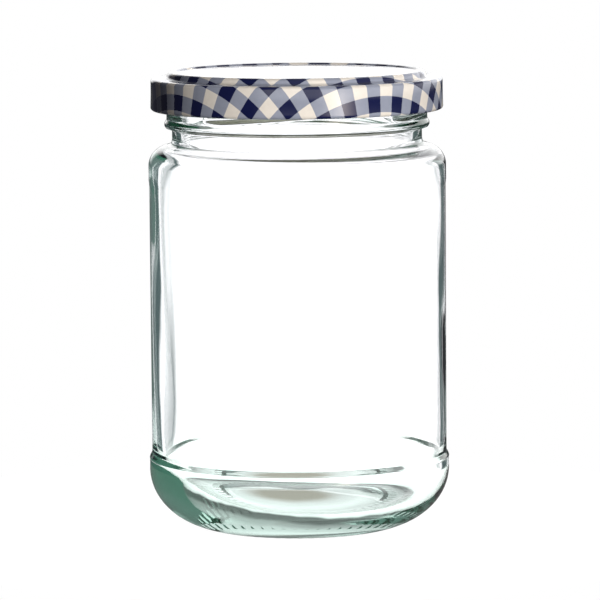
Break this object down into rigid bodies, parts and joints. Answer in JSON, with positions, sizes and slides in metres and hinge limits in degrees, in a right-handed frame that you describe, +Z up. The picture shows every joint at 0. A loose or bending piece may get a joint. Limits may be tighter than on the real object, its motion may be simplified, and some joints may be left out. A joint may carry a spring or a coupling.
{
  "type": "round glass jar",
  "caption": "Round clear glass preserving jar with a rounded heel, a short threaded neck and a check-patterned twist-off metal lid.",
  "frame": {"origin": "middle of the ring that the jar stands on, at table level", "axes": "+Z up along the jar's axis, -Y to the front"},
  "size_m": [0.0754, 0.0754, 0.1142],
  "materials": {
    "clear_glass": "clear pressed and blown glass with a faint green tint in its thick heel",
    "printed_tinplate": "thin sheet printed with a navy and cream check under a gloss varnish, pale lacquer inside",
    "sealing_compound": "soft cream sealing compound"
  },
  "bodies": {
    "root": {"jar": "clear_glass", "lid": "printed_tinplate", "seal_ring": "sealing_compound"}
  },
  "joints": []
}
